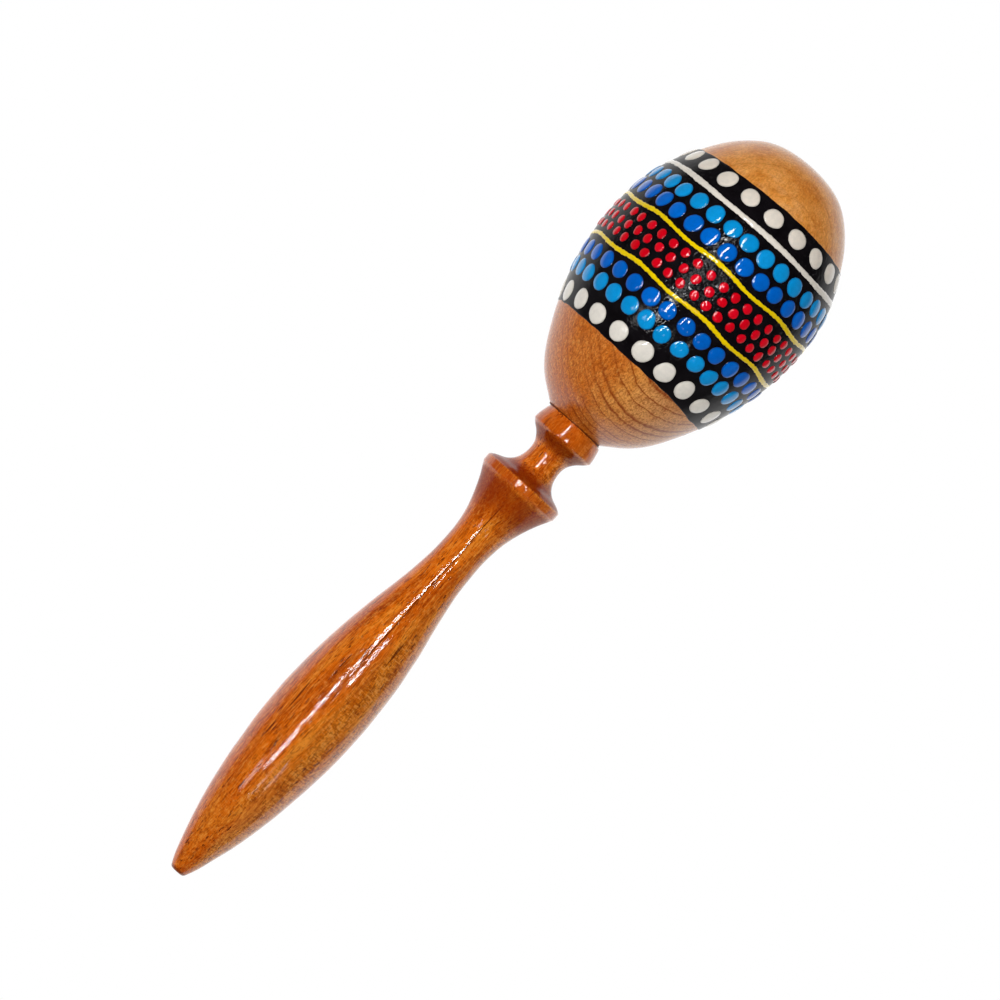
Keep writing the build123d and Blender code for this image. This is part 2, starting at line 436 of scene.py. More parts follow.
FILM = 0.16            # thickness of the black coat above the wood
TOP = np.array([(-66, 224.3), (-45, 224.5), (-30, 224.7), (-10, 225.0), (10, 225.3), (30, 225.3), (40, 225.2),
                (60, 224.8), (85, 224.6), (110, 224.9), (140, 224.5), (170, 224.8), (200, 225.1), (230, 224.7),
                (262, 224.4)], float)
LOW = np.array([(-66, 172.4), (-45, 172.4), (-20, 172.0), (0, 171.9), (20, 171.9), (35, 171.7), (50, 171.4),
                (60, 171.2), (80, 171.3), (105, 171.7), (135, 172.1), (165, 171.8), (195, 172.2), (230, 172.5),
                (262, 172.3)], float)


def edge(table, ph, seed):
    d = np.degrees(ph)
    base = np.interp(d, table[:, 0], table[:, 1], period=360)
    g = np.random.default_rng(seed)
    for k in (7, 11, 17, 23, 31):
        base = base + 0.05 * g.uniform(0.4, 1) * np.sin(k * ph + g.uniform(0, 6.28))
    return base


def film_mesh():
    nseg = 400
    ph = np.arange(nseg) * 2 * math.pi / nseg
    lo = length_at(edge(LOW, ph, 21))
    hi = length_at(edge(TOP, ph, 22))
    near = np.array([0, 0.02, 0.06, 0.12, 0.2, 0.3, 0.42])
    mid = np.linspace(0, 1, 92)[1:-1]
    rows_l, rows_z = [], []
    for d in near:
        rows_l.append(lo + d)
        rows_z.append(np.full(nseg, 0.0 if d == 0 else FILM * math.sqrt(max(0.0, 1 - (1 - min(d / 0.3, 1)) ** 2))))
    for t in mid:
        rows_l.append(lo + near[-1] + t * (hi - lo - 2 * near[-1]))
        rows_z.append(np.full(nseg, FILM))
    for d in near[::-1]:
        rows_l.append(hi - d)
        rows_z.append(np.full(nseg, 0.0 if d == 0 else FILM * math.sqrt(max(0.0, 1 - (1 - min(d / 0.3, 1)) ** 2))))
    for t in np.linspace(1, 0, 24):
        rows_l.append(lo + 0.15 + t * (hi - lo - 0.3))
        rows_z.append(np.full(nseg, -0.09))
    l, z = np.array(rows_l), np.array(rows_z)
    f = np.repeat(ph[None], len(l), 0)
    s = np.interp(l, GL, GS)
    full = z >= FILM * 0.999
    z = z + np.where(full, ripple(s, f, 31, 0.03, 0.12, 8), 0)
    v, lc = on_head(s, f, z)
    n = len(l)
    j = np.arange(nseg)
    jn = (j + 1) % nseg
    ii = np.arange(n)
    nx = (ii + 1) % n
    q = np.stack([ii[:, None] * nseg + j, ii[:, None] * nseg + jn, nx[:, None] * nseg + jn, nx[:, None] * nseg + j], -1)
    return mesh_object("black_band", v.reshape(-1, 3), q.reshape(-1, 4), None, {"lc": lc.reshape(-1, 3)})


black_band = film_mesh()

# height of the paint that already lies on the black coat, on a fine grid
HS = np.arange(168.0, 230.0, 0.1)
NP = 1800
HEIGHT = np.zeros((len(HS), NP), np.float32)
rng = np.random.default_rng(2026)


def height_at(s, ph):
    u = np.clip((s - HS[0]) / 0.1, 0, len(HS) - 1.001)
    w = (np.degrees(ph) % 360) / 360 * NP
    i, j = np.floor(u).astype(int), np.floor(w).astype(int) % NP
    fu, fw = u - np.floor(u), w - np.floor(w)
    jn = (j + 1) % NP
    return (
        HEIGHT[i, j] * (1 - fu) * (1 - fw) + HEIGHT[i + 1, j] * fu * (1 - fw)
        + HEIGHT[i, jn] * (1 - fu) * fw + HEIGHT[i + 1, jn] * fu * fw
    )


class Paint:
    """Collects the strokes and drops of one colour into one mesh."""

    def __init__(self):
        self.v, self.lc, self.q, self.t, self.rho, self.tone, self.n = [], [], [], [], [], [], 0

    def add(self, s, ph, z, quads, tris, rho, tone):
        v, lc = on_head(s, ph, FILM + z)
        v, lc = v.reshape(-1, 3), lc.reshape(-1, 3)
        self.v.append(v)
        self.lc.append(lc)
        if len(quads):
            self.q.append(np.asarray(quads) + self.n)
        if len(tris):
            self.t.append(np.asarray(tris) + self.n)
        self.rho.append(np.asarray(rho, float).ravel())
        self.tone.append(np.full(len(v), tone))
        self.n += len(v)

    def dot(self, s, deg, r, h=None, tone=None, round_=0.05, stretch=None):
        """A drop of paint: a low dome with a steep rim and an uneven outline."""
        tone = rng.uniform(-1, 1) if tone is None else tone
        h = (0.16 + 0.085 * r) if h is None else h
        h *= rng.uniform(0.9, 1.12)
        ph0 = math.radians(deg)
        nseg = 32 if r > 1.9 else 24
        th = np.arange(nseg) * 2 * math.pi / nseg
        e = [rng.uniform(0.25, 1) * round_ * k for k in (1.0, 0.5, 0.25)]
        a0 = rng.uniform(0, 2 * math.pi, 3)
        if stretch is not None:
            e[0], a0[0] = stretch[0], math.radians(stretch[1])

        def out(t):
            return r * (1 + e[0] * np.cos(2 * (t - a0[0])) + e[1] * np.cos(3 * (t - a0[1])) + e[2] * np.cos(5 * (t - a0[2])))

        rho = np.array([1.0, 1.0, 0.985, 0.945, 0.87, 0.74, 0.56, 0.34, 0.14])
        lean_a, lean_b = rng.uniform(-0.10, 0.10, 2)

        def dome(x):
            return h * np.maximum(0, 1 - np.clip(x, 0, 1) ** 2.3) ** 0.62

        ra = rho[:, None] * (out(th) * np.cos(th))[None]
        rb = rho[:, None] * (out(th) * np.sin(th))[None]
        ss, pp = offset_sp(s, ph0, ra, rb)
        under = height_at(ss, pp)
        z = dome(rho)[:, None] * (1 + lean_a * ra / r + lean_b * rb / r)
        k = np.where(rho > 0.99, 1.0, 0.82)[:, None]
        z = z + under * k
        z[0] = -0.07
        z[1] = np.maximum(under[1] - 0.02, 0.0)
        cs, cp = offset_sp(s, ph0, np.array([0.0, 0.0]), np.array([0.0, 0.0]))
        s_all = np.concatenate([ss.ravel(), cs])
        p_all = np.concatenate([pp.ravel(), cp])
        z_all = np.concatenate([z.ravel(), [h + 0.82 * height_at(cs, cp)[0], -0.07]])
        rr = np.concatenate([np.repeat(rho, nseg), [0.0, 1.0]])
        m = len(rho)
        j = np.arange(nseg)
        jn = (j + 1) % nseg
        kk = np.arange(m - 1)[:, None]
        q = np.stack([kk * nseg + jn, kk * nseg + j, (kk + 1) * nseg + j, (kk + 1) * nseg + jn], -1).reshape(-1, 4)
        c = m * nseg
        last = (m - 1) * nseg
        t = np.vstack([
            np.stack([np.full(nseg, c), last + jn, last + j], 1),
            np.stack([np.full(nseg, c + 1), j, jn], 1),
        ])
        self.add(s_all, p_all, z_all, q, t, rr, tone)
        # leave its height for whatever is painted over it
        i0, i1 = np.searchsorted(HS, [s - r * 1.4, s + r * 1.4])
        if i1 > i0:
            rad = float(np.interp(s, GS, GR))
            dj = int(math.ceil(r * 1.5 / rad / (2 * math.pi) * NP))
            jc = int(round((deg % 360) / 360 * NP))
            jj = np.arange(jc - dj, jc + dj + 1)
            gs = HS[i0:i1][:, None]
            gp = np.radians(jj * 360 / NP)[None]
            aa = length_at(gs) - length_at(s)
            dd = (gp - ph0 + math.pi) % (2 * math.pi) - math.pi
            bb = dd * np.interp(gs, GS, GR)
            tt = np.arctan2(bb, aa)
            x = np.hypot(aa, bb) / out(tt)
            old = HEIGHT[i0:i1][:, jj % NP]
            new = np.where(x < 1, dome(x) + 0.82 * old, old)
            HEIGHT[np.ix_(np.arange(i0, i1), jj % NP)] = np.maximum(new, old)

    def stroke(self, pts, h=0.26, tone=None, rough=0.08, taper=(1, 1), step=0.28, flat=2.0):
        """A brushed or squeezed line through (s, phi, half width)."""
        tone = rng.uniform(-1, 1) if tone is None else tone
        p = np.array(pts, float)
        rad = np.interp(p[:, 0], GS, GR)
        q = np.stack([length_at(p[:, 0]), np.radians(p[:, 1]) * rad.mean(), p[:, 2]], 1)
        d = np.concatenate([[0], np.cumsum(np.hypot(np.diff(q[:, 0]), np.diff(q[:, 1])))])
        n = max(6, int(d[-1] / step))
        t = np.linspace(0, d[-1], n + 1)
        # Catmull-Rom through the points
        m = np.zeros_like(q)
        m[1:-1] = (q[2:] - q[:-2]) / (d[2:] - d[:-2])[:, None]
        m[0] = (q[1] - q[0]) / (d[1] - d[0])
        m[-1] = (q[-1] - q[-2]) / (d[-1] - d[-2])
        i = np.clip(np.searchsorted(d, t, side="right") - 1, 0, len(d) - 2)
        hh = (d[i + 1] - d[i])[:, None]
        x = ((t - d[i]) / (d[i + 1] - d[i]))[:, None]
        c = (
            (2 * x**3 - 3 * x**2 + 1) * q[i] + (x**3 - 2 * x**2 + x) * hh * m[i]
            + (-2 * x**3 + 3 * x**2) * q[i + 1] + (x**3 - x**2) * hh * m[i + 1]
        )
        s0 = np.interp(c[:, 0], GL, GS)
        ph0 = c[:, 1] / rad.mean()
        r0 = np.interp(s0, GS, GR)
        w = np.maximum(c[:, 2], 0.12)
        jig = np.zeros(n + 1)
        side = np.zeros(n + 1)
        for f in (0.35, 0.8, 1.7):
            jig += rng.uniform(0.5, 1) * np.sin(t * f * 2 * math.pi / 2.2 + rng.uniform(0, 6.28))
            side += rng.uniform(0.5, 1) * np.sin(t * f * 2 * math.pi / 3.1 + rng.uniform(0, 6.28))
        w = w * (1 + rough * jig)
        ta = np.gradient(c[:, 0])
        tb = np.gradient(ph0) * r0
        ln = np.hypot(ta, tb) + 1e-9
        ta, tb = ta / ln, tb / ln
        # round the two ends
        grow = np.ones(n + 1)
        for k, dist in ((0, t), (1, t[-1] - t)):
            e = w[0 if k == 0 else -1] * taper[k]
            x1 = np.clip(dist / max(e, 0.05), 0, 1)
            grow = np.minimum(grow, np.sqrt(np.maximum(0.0, 1 - (1 - x1) ** 2)))
        grow = np.maximum(grow, 0.08)
        wv = w * grow
        shift = side * rough * 0.5 * w
        u = np.array([-1, -0.985, -0.9, -0.7, -0.4, 0, 0.4, 0.7, 0.9, 0.985, 1])
        hgt = h * np.clip(0.45 + 0.55 * np.minimum(1, w / 0.9), 0.5, 1) * np.sqrt(grow)
        top = hgt[:, None] * np.maximum(0, 1 - np.abs(u)[None] ** flat) ** 0.6
        off = u[None] * wv[:, None] + shift[:, None]
        aa, bb = -tb[:, None] * off, ta[:, None] * off
        st, pt = offset_sp(s0[:, None], ph0[:, None], aa, bb)
        under = height_at(st, pt)
        zt = top + 0.85 * under
        ub = u[::-1]
        offb = ub[None] * wv[:, None] * 0.99 + shift[:, None]
        sb, pb = offset_sp(s0[:, None], ph0[:, None], -tb[:, None] * offb, ta[:, None] * offb)
        zb = np.full(sb.shape, -0.07)
        s_all = np.concatenate([st, sb], 1)
        p_all = np.concatenate([pt, pb], 1)
        z_all = np.concatenate([zt, zb], 1)
        mth = s_all.shape[1]
        jj = np.arange(mth)
        jn = (jj + 1) % mth
        kk = np.arange(n)[:, None]
        quads = np.stack([kk * mth + jj, kk * mth + jn, (kk + 1) * mth + jn, (kk + 1) * mth + jj], -1).reshape(-1, 4)
        cs, cp = s0[[0, -1]], ph0[[0, -1]]
        cz = np.array([0.02, 0.02])
        c0, c1 = (n + 1) * mth, (n + 1) * mth + 1
        tris = np.vstack([
            np.stack([np.full(mth, c0), jn, jj], 1),
            np.stack([np.full(mth, c1), n * mth + jj, n * mth + jn], 1),
        ])
        rho = np.concatenate([np.abs(np.tile(np.concatenate([u, ub]), n + 1)), [1, 1]])
        self.add(np.concatenate([s_all.ravel(), cs]), np.concatenate([p_all.ravel(), cp]),
                 np.concatenate([z_all.ravel(), cz]), quads, tris, rho, tone)
        # its height, splatted on the grid
        fine = np.linspace(-1, 1, 13)
        for k in range(len(t)):
            o2 = fine * wv[k] + shift[k]
            s2, p2 = offset_sp(s0[k], ph0[k], -tb[k] * o2, ta[k] * o2)
            i2 = np.clip(np.round((s2 - HS[0]) / 0.1).astype(int), 1, len(HS) - 2)
            j2 = np.round((np.degrees(p2) % 360) / 360 * NP).astype(int) % NP
            z2 = hgt[k] * np.maximum(0, 1 - np.abs(fine) ** flat) ** 0.6
            for di in (-1, 0, 1):
                for dj in (-1, 0, 1):
                    HEIGHT[i2 + di, (j2 + dj) % NP] = np.maximum(HEIGHT[i2 + di, (j2 + dj) % NP], z2 * 0.95)

    def make(self, name):
        return mesh_object(
            name, np.vstack(self.v), np.vstack(self.q), np.vstack(self.t),
            {"lc": np.vstack(self.lc), "rho": np.concatenate(self.rho), "tone": np.concatenate(self.tone)},
        )


# The decoration is a plain one: level rings of evenly spaced dots and thin
# lines that run right round the head, with the small unevenness of handwork.
def ring(paint, level, count, radius, start=0.0, **how):
    for k in range(count):
        paint.dot(
            level + rng.uniform(-0.16, 0.16), start + 360.0 * k / count + rng.uniform(-0.5, 0.5),
            radius * rng.uniform(0.96, 1.05), **how,
        )


def ring_line(paint, level, width, waves, swing, turn, **how):
    """A line right round the head, whose ends meet out of sight at the back."""
    pts = []
    for d in range(180, 545, 5):
        a = math.radians(d)
        pts.append((level + swing * math.sin(waves * a + turn), d, width * (1 + 0.10 * math.sin(7 * a + turn))))
    paint.stroke(pts, **how)


# ---- white: the two borders and one thin ring -----------------------------
white = Paint()
ring(white, 221.7, 20, 2.65, 4.0, tone=0.7, h=0.34)
ring(white, 175.5, 21, 2.70, 0.0, tone=-0.5, h=0.36)
white_dots = white.make("white_dots")
lines = Paint()
ring_line(lines, 216.9, 0.78, 5, 0.16, 0.4, h=0.30, tone=0.2, rough=0.06, flat=2.4)
white_lines = lines.make("white_lines")

# ---- blue: a sky blue and a deep blue ring on each side of the middle ------
sky = Paint()
ring(sky, 181.9, 31, 2.35, 2.0)
ring(sky, 212.6, 32, 2.35, 3.0)
sky_dots = sky.make("sky_blue_dots")
deep = Paint()
ring(deep, 187.0, 32, 2.35, 7.5)
ring(deep, 207.5, 33, 2.35, 8.5)
deep_dots = deep.make("deep_blue_dots")

# ---- yellow: two lightly waved lines that edge the middle ------------------
yellow = Paint()
ring_line(yellow, 191.0, 0.55, 9, 0.35, 0.0, h=0.25, rough=0.10)
ring_line(yellow, 203.6, 0.55, 9, 0.35, 1.6, h=0.25, rough=0.10)
yellow_lines = yellow.make("yellow_lines")

# ---- red: three rings of small dots, each set between those of the next ----
red = Paint()
for k, level in enumerate((194.1, 197.3, 200.5)):
    ring(red, level, 45, 1.30, 4.0 * (k % 2), h=0.30, round_=0.07)
red_dots = red.make("red_dots")

# --------------------------------------------------------------------------
# Materials
# --------------------------------------------------------------------------
def lin(c):
    out = []
    for x in c[:3]:
        x = x / 255.0
        out.append(x / 12.92 if x <= 0.04045 else ((x + 0.055) / 1.055) ** 2.4)
    return (*out, 1.0)


class Nodes:
    def __init__(self, name):
        self.mat = bpy.data.materials.new(name)
        self.mat.use_nodes = True
        self.nt = self.mat.node_tree
        self.nt.nodes.clear()
        self.out = self.nt.nodes.new("ShaderNodeOutputMaterial")
        self.bsdf = self.nt.nodes.new("ShaderNodeBsdfPrincipled")
        self.nt.links.new(self.bsdf.outputs[0], self.out.inputs["Surface"])

    def put(self, sock, val):
        if isinstance(val, bpy.types.NodeSocket):
            self.nt.links.new(val, sock)
        else:
            sock.default_value = val

    def set(self, **kw):
        for k, v in kw.items():
            self.put(self.bsdf.inputs[k.replace("_", " ")], v)
        return self

    def attr(self, name, out="Vector"):
        n = self.nt.nodes.new("ShaderNodeAttribute")
        n.attribute_name = name
        return n.outputs[out]

    def math(self, op, a, b=0.0, c=0.0, clamp=False):
        n = self.nt.nodes.new("ShaderNodeMath")
        n.operation = op
        n.use_clamp = clamp
        for i, v in enumerate((a, b, c)):
            self.put(n.inputs[i], v)
        return n.outputs[0]

    def xyz(self, vec):
        n = self.nt.nodes.new("ShaderNodeSeparateXYZ")
        self.put(n.inputs[0], vec)
        return n.outputs

    def join(self, x, y, z):
        n = self.nt.nodes.new("ShaderNodeCombineXYZ")
        for i, v in enumerate((x, y, z)):
            self.put(n.inputs[i], v)
        return n.outputs[0]

    def scaled(self, vec, sc, loc=(0, 0, 0)):
        n = self.nt.nodes.new("ShaderNodeMapping")
        self.put(n.inputs["Vector"], vec)
        n.inputs["Scale"].default_value = sc
        n.inputs["Location"].default_value = loc
        return n.outputs[0]

    def noise(self, vec, scale=1.0, detail=2.0, rough=0.5, dist=0.0, out="Fac"):
        n = self.nt.nodes.new("ShaderNodeTexNoise")
        self.put(n.inputs["Vector"], vec)
        for k, v in (("Scale", scale), ("Detail", detail), ("Roughness", rough), ("Distortion", dist)):
            n.inputs[k].default_value = v
        return n.outputs[out]

    def voronoi(self, vec, scale=1.0, rand=1.0, out="Distance"):
        n = self.nt.nodes.new("ShaderNodeTexVoronoi")
        self.put(n.inputs["Vector"], vec)
        n.inputs["Scale"].default_value = scale
        n.inputs["Randomness"].default_value = rand
        return n.outputs[out]

    def ramp(self, fac, stops, interp="LINEAR"):
        n = self.nt.nodes.new("ShaderNodeValToRGB")
        n.color_ramp.interpolation = interp
        el = n.color_ramp.elements
        while len(el) > 1:
            el.remove(el[-1])
        for i, (p, c) in enumerate(stops):
            e = el[0] if i == 0 else el.new(p)
            e.position = p
            e.color = (c, c, c, 1) if isinstance(c, (int, float)) else c
        self.put(n.inputs[0], fac)
        return n.outputs[0]

    def smooth(self, val, lo, hi, a=0.0, b=1.0):
        n = self.nt.nodes.new("ShaderNodeMapRange")
        n.interpolation_type = "SMOOTHSTEP"
        self.put(n.inputs["Value"], val)
        for k, v in (("From Min", lo), ("From Max", hi), ("To Min", a), ("To Max", b)):
            n.inputs[k].default_value = v
        return n.outputs[0]

    def mix(self, fac, a, b, mode="MIX"):
        n = self.nt.nodes.new("ShaderNodeMix")
        n.data_type = "RGBA"
        n.blend_type = mode
        n.clamp_factor = True
        self.put(n.inputs[0], fac)
        self.put(n.inputs[6], a)
        self.put(n.inputs[7], b)
        return n.outputs[2]

    def bump(self, height, dist, strength=1.0, normal=None):
        n = self.nt.nodes.new("ShaderNodeBump")
        n.inputs["Strength"].default_value = strength
        n.inputs["Distance"].default_value = dist * 0.001
        self.put(n.inputs["Height"], height)
        if normal is not None:
            self.put(n.inputs["Normal"], normal)
        return n.outputs[0]


def handle_material():
    m = Nodes("varnished_handle_wood")
    lc = m.attr("lc")
    x, y, z = m.xyz(lc)
    warp = m.noise(m.scaled(lc, (0.12, 0.12, 0.03)), 1.0, 2.0, 0.5, out="Color")
    wx, wy, _ = m.xyz(warp)
    xw = m.math("ADD", x, m.math("MULTIPLY", m.math("SUBTRACT", wx, 0.5), 3.0))
    yw = m.math("ADD", y, m.math("MULTIPLY", m.math("SUBTRACT", wy, 0.5), 3.0))
    flow = m.join(xw, yw, z)
    # broad tone along the stick
    broad = m.noise(m.scaled(flow, (0.20, 0.20, 0.022)), 1.0, 3.0, 0.55)
    base = m.ramp(broad, [(0.30, lin((166, 64, 3))), (0.44, lin((196, 86, 4))), (0.56, lin((218, 104, 10))), (0.72, lin((230, 132, 32)))])
    # bands of growth, seen almost along the grain
    band = m.noise(m.scaled(flow, (0.6, 0.6, 0.016), (3, 7, 0)), 1.0, 3.0, 0.6)
    base = m.mix(m.smooth(band, 0.50, 0.70, 0.0, 0.55), base, lin((146, 60, 8)))
    # the paler, curly side
    side = m.smooth(m.math("ADD", y, m.math("MULTIPLY", m.math("SUBTRACT", broad, 0.5), 12.0)), 0.5, 6.0)
    pale = m.ramp(m.noise(m.scaled(flow, (0.5, 0.5, 0.05), (11, 0, 4)), 1.0, 3.0, 0.6),
                  [(0.3, lin((190, 98, 10))), (0.5, lin((214, 126, 28))), (0.72, lin((230, 158, 66)))])
    base = m.mix(m.math("MULTIPLY", side, 0.68), base, pale)
    low = m.smooth(z, 50.0, 22.0)
    base = m.mix(m.math("MULTIPLY", low, 0.42), base, lin((180, 76, 4)))
    tan = m.math("MULTIPLY", m.smooth(z, 46.0, 6.0), m.smooth(y, 1.4, 3.4))
    base = m.mix(m.math("MULTIPLY", tan, 0.55), base, lin((204, 136, 64)))
    # redder on the other flank
    base = m.mix(m.math("MULTIPLY", m.smooth(y, -2.0, -9.0), 0.40), base, lin((182, 78, 8)))
    # lengthwise fibres
    fib = m.noise(m.scaled(flow, (1.7, 1.7, 0.10)), 1.0, 4.0, 0.62)
    fib2 = m.noise(m.scaled(flow, (2.6, 2.6, 0.42), (3, 3, 3)), 1.0, 3.0, 0.6)
    base = m.mix(m.smooth(fib, 0.52, 0.70, 0.0, 0.62), base, lin((116, 38, 4)))
    base = m.mix(m.smooth(fib, 0.47, 0.30, 0.0, 0.45), base, lin((232, 148, 56)))
    base = m.mix(m.smooth(fib2, 0.52, 0.66, 0.0, 0.62), base, lin((124, 40, 4)))
    base = m.mix(m.smooth(fib2, 0.47, 0.32, 0.0, 0.42), base, lin((238, 160, 70)))
    # cross ripple of the curly figure
    rip = m.noise(m.scaled(flow, (0.55, 0.55, 1.7), (2, 5, 1)), 1.0, 3.0, 0.6, 0.8)
    figure = m.math("MULTIPLY", m.math("ADD", m.math("MULTIPLY", side, 0.75), 0.25), m.smooth(m.noise(m.scaled(lc, (0.15, 0.15, 0.04), (9, 9, 9)), 1.0, 1.0), 0.30, 0.52))
    base = m.mix(m.math("MULTIPLY", figure, m.smooth(rip, 0.5, 0.64, 0.0, 0.62)), base, lin((122, 52, 10)))
    base = m.mix(m.math("MULTIPLY", figure, m.smooth(rip, 0.5, 0.37, 0.0, 0.5)), base, lin((226, 156, 78)))
    # open pores, short dark dashes along the grain
    pore = m.noise(m.scaled(flow, (1.75, 1.75, 0.30), (31, 3, 8)), 1.0, 2.0, 0.5)
    where = m.smooth(m.noise(m.scaled(lc, (0.2, 0.2, 0.05), (1, 2, 3)), 1.0, 2.0), 0.35, 0.6, 0.3, 1.0)
    pores = m.math("MULTIPLY", m.smooth(pore, 0.625, 0.69), where)
    base = m.mix(m.math("MULTIPLY", pores, 0.85), base, lin((74, 20, 3)))
    speck = m.noise(m.scaled(flow, (1.7, 1.7, 0.9), (5, 31, 8)), 1.0, 3.0, 0.6)
    base = m.mix(m.math("MULTIPLY", side, m.smooth(speck, 0.56, 0.66, 0.0, 0.62)), base, lin((98, 52, 16)))
    # a few long dark streaks
    streak = m.noise(m.scaled(flow, (1.0, 1.0, 0.03), (17, 23, 2)), 1.0, 3.0, 0.55)
    base = m.mix(m.smooth(streak, 0.635, 0.70, 0.0, 0.8), base, lin((72, 20, 4)))
    # one long drying crack along the grain
    drift = m.noise(m.scaled(m.join(0.0, 0.0, z), (0.05, 0.05, 0.05), (0, 0, 6)), 1.0, 2.0, 0.5)
    away = m.math("ABSOLUTE", m.math("ADD", m.math("ADD", y, 0.30), m.math("MULTIPLY", m.math("SUBTRACT", drift, 0.5), 1.1)))
    crack = m.math("MULTIPLY", m.smooth(away, 0.24, 0.07), m.smooth(x, 1.0, 3.0))
    crack = m.math("MULTIPLY", crack, m.math("MULTIPLY", m.smooth(z, 66.0, 74.0), m.smooth(z, 127.0, 121.0)))
    base = m.mix(m.math("MULTIPLY", crack, 0.80), base, lin((70, 20, 4)))
    # turned details near the neck: darker red-brown on the flared cone, redder on the collar rim, painted shade in the
    # cove beside the rim and under the neck bead, and a brighter orange on the bead
    cone = m.math("MULTIPLY", m.smooth(z, 116.0, 125.0), m.smooth(z, 129.6, 128.0))
    base = m.mix(m.math("MULTIPLY", cone, 0.72), base, lin((128, 34, 2)))
    rim = m.math("MULTIPLY", m.smooth(z, 128.8, 129.6), m.smooth(z, 131.7, 131.2))
    base = m.mix(m.math("MULTIPLY", rim, 0.5), base, lin((172, 66, 14)))
    # painted shade: the cove beside the collar rim is darkened as if in shadow
    cove = m.math("MULTIPLY", m.smooth(z, 131.5, 132.2), m.smooth(z, 137.0, 133.8))
    base = m.mix(m.math("MULTIPLY", cove, 0.78), base, lin((122, 26, 1)))
    # painted shade: the hollow under the neck bead is darkened as if in shadow
    under = m.math("MULTIPLY", m.smooth(z, 141.5, 143.6), m.smooth(z, 146.2, 145.2))
    base = m.mix(m.math("MULTIPLY", under, 0.72), base, lin((108, 28, 2)))
    neck = m.math("MULTIPLY", m.smooth(z, 145.8, 147.0), m.smooth(z, 151.3, 150.2))
    base = m.mix(m.math("MULTIPLY", neck, 0.5), base, lin((188, 84, 10)))
    # painted shade: the butt end is darkened towards its flat face
    butt = m.smooth(z, 1.3, 0.5)
    base = m.mix(m.math("MULTIPLY", butt, 0.7), base, lin((92, 34, 8)))
    coat_h = m.noise(m.scaled(flow, (0.9, 0.9, 0.06), (4, 4, 4)), 1.0, 3.0, 0.6)
    coat_f = m.noise(m.scaled(flow, (2.6, 2.6, 0.5), (4, 9, 4)), 1.0, 2.0, 0.6)
    h = m.math("ADD", coat_h, m.math("MULTIPLY", coat_f, 0.35))
    h = m.math("SUBTRACT", h, m.math("MULTIPLY", pores, 0.35))
    nrm = m.bump(h, 0.05)
    m.set(Base_Color=base, Roughness=m.smooth(fib, 0.3, 0.7, 0.38, 0.55), Normal=nrm)
    m.bsdf.inputs["Specular IOR Level"].default_value = 0.0
    dull = m.math("MULTIPLY", m.math("MAXIMUM", m.math("MAXIMUM", cone, cove), under), 0.55)
    m.put(m.bsdf.inputs["Coat Weight"], m.math("SUBTRACT", 1.0, dull))
    m.bsdf.inputs["Coat Roughness"].default_value = 0.025
    m.bsdf.inputs["Coat IOR"].default_value = 1.5
    m.put(m.bsdf.inputs["Coat Normal"], nrm)
    return m.mat


